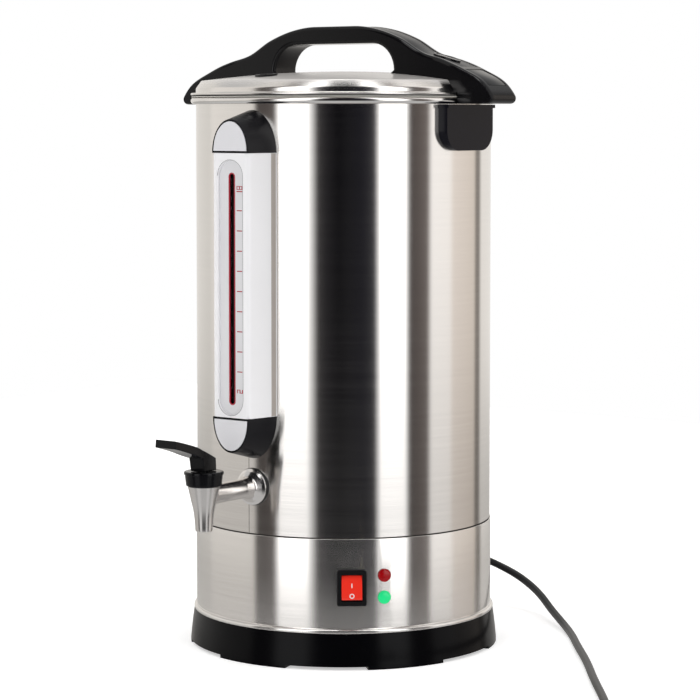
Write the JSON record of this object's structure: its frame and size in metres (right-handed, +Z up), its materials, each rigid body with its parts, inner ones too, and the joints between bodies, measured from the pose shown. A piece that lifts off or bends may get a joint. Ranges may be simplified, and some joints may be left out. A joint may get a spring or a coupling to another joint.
{
  "type": "hot water urn",
  "caption": "Free-standing stainless hot water urn with a lever tap, level gauge, lift-off lid with a bar handle, side brackets, rocker switch and power cord.",
  "frame": {"origin": "on the surface that the urn stands on, under the vessel's axis", "axes": "+Z up along the vessel's axis, -Y towards the tap and the level gauge, X along the lid's handle"},
  "size_m": [0.5692, 0.5356, 0.5566],
  "materials": {
    "base_plastic": "moulded black plastic, satin gloss",
    "plate_steel": "zinc plated sheet",
    "fastener_steel": "plain stainless",
    "shell_steel": "stainless sheet, fine brushing round the vessel",
    "tank_steel": "polished rolled rim, plain inside",
    "heater_aluminium": "cast",
    "heater_sheath": "dull steel sheath",
    "thermostat_resin": "phenolic resin",
    "block_nylon": "nylon",
    "wire_silicone": "silicone insulation",
    "bezel_black": "smooth",
    "contact_brass": "plain",
    "lens_red": "clear red lens, unlit",
    "lens_green": "clear green lens, lit",
    "cover_silver": "smooth silver grey",
    "scale_white": "printed scale",
    "gauge_glass": "clear tube",
    "seal_silicone": "translucent silicone",
    "cap_black": "glossy moulding",
    "inlay_silver": "satin silver",
    "tap_chrome": "polished",
    "gasket_black": "black ring",
    "tap_black": "glossy moulding",
    "bracket_black": "satin front, glossy flanks",
    "gland_black": "moulded",
    "cord_black": "matt jacket",
    "plug_black": "moulded",
    "lid_steel": "stainless sheet with a polished edge",
    "vent_black": "moulded",
    "handle_black": "satin moulding",
    "strip_black": "finely textured",
    "rocker_red": "smooth red"
  },
  "bodies": {
    "urn": {"foot_base": "base_plastic", "bottom_plate": "plate_steel", "base_screws": "fastener_steel", "base_nuts": "fastener_steel", "lower_shell": "shell_steel", "outer_shell": "shell_steel", "inner_tank": "tank_steel", "heater_plate": "heater_aluminium", "heater_ring": "heater_sheath", "heater_clamp": "plate_steel", "heater_nut": "fastener_steel", "boil_thermostat": "thermostat_resin", "warm_thermostat": "thermostat_resin", "thermal_cutout": "thermostat_resin", "terminal_block": "block_nylon", "wiring": "wire_silicone", "switch_body": "bezel_black", "switch_terminals": "contact_brass", "red_lamp": "lens_red", "green_lamp": "lens_green", "lamp_holders": "block_nylon", "lamp_nuts": "block_nylon", "gauge_cover": "cover_silver", "gauge_scale": "scale_white", "gauge_tube": "gauge_glass", "gauge_fittings": "contact_brass", "gauge_seals": "seal_silicone", "gauge_washers": "seal_silicone", "gauge_nuts": "contact_brass", "gauge_top_cap": "cap_black", "gauge_bottom_cap": "cap_black", "gauge_top_inlay": "inlay_silver", "gauge_bottom_inlay": "inlay_silver", "tap_body": "tap_chrome", "tap_gasket": "gasket_black", "tap_washer": "seal_silicone", "tap_nut": "fastener_steel", "tap_bonnet": "tap_black", "tap_spring": "fastener_steel", "left_bracket": "bracket_black", "right_bracket": "bracket_black", "bracket_screws": "fastener_steel", "cord_gland": "gland_black", "power_cord": "cord_black", "cord_coil": "cord_black", "plug_body": "plug_black", "plug_pins": "contact_brass"},
    "lid_seal": {"lid_gasket": "seal_silicone"},
    "lid": {"lid_shell": "lid_steel", "lid_vent": "vent_black", "lid_handle": "handle_black", "handle_strip": "strip_black", "handle_panels": "strip_black", "handle_screws": "fastener_steel"},
    "tap_valve": {"tap_stem": "fastener_steel", "tap_cup": "seal_silicone"},
    "tap_handle": {"tap_lever": "tap_black", "tap_pin": "fastener_steel"},
    "rocker": {"switch_rocker": "rocker_red"},
    "reset": {"reset_button": "rocker_red"}
  },
  "joints": [
    {"name": "lid_lift", "type": "slide", "parent": "urn", "child": "lid_seal", "axis": [0, 0, 1], "range_m": [0, 0.2]},
    {"name": "lid_turn", "type": "hinge", "parent": "lid_seal", "child": "lid", "pos_m": [0, 0, 0.494], "axis": [0, 0, 1], "range_deg": [0, 25]},
    {"name": "tap_lift", "type": "slide", "parent": "urn", "child": "tap_valve", "axis": [0, 0, 1], "range_m": [0, 0.00366], "stiffness_N_per_m": 1500, "springref_m": -0.003, "deforming": ["tap_spring"]},
    {"name": "tap_lever_turn", "type": "hinge", "parent": "tap_valve", "child": "tap_handle", "pos_m": [0, -0.2, 0.1825], "axis": [1, 0, 0], "range_deg": [0, 25]},
    {"name": "rocker_switch", "type": "hinge", "parent": "urn", "child": "rocker", "pos_m": [0.08411, -0.10277, 0.0709], "axis": [0.7738, 0.6334, 0], "range_deg": [0, 18]},
    {"name": "reset_press", "type": "slide", "parent": "urn", "child": "reset", "axis": [0, 0, 1], "range_m": [0, 0.0015], "stiffness_N_per_m": 300, "springref_m": -0.002}
  ],
  "couplings": [
    {"joint": "tap_lever_turn", "follows": "tap_lift", "rad_per_m": 119}
  ]
}
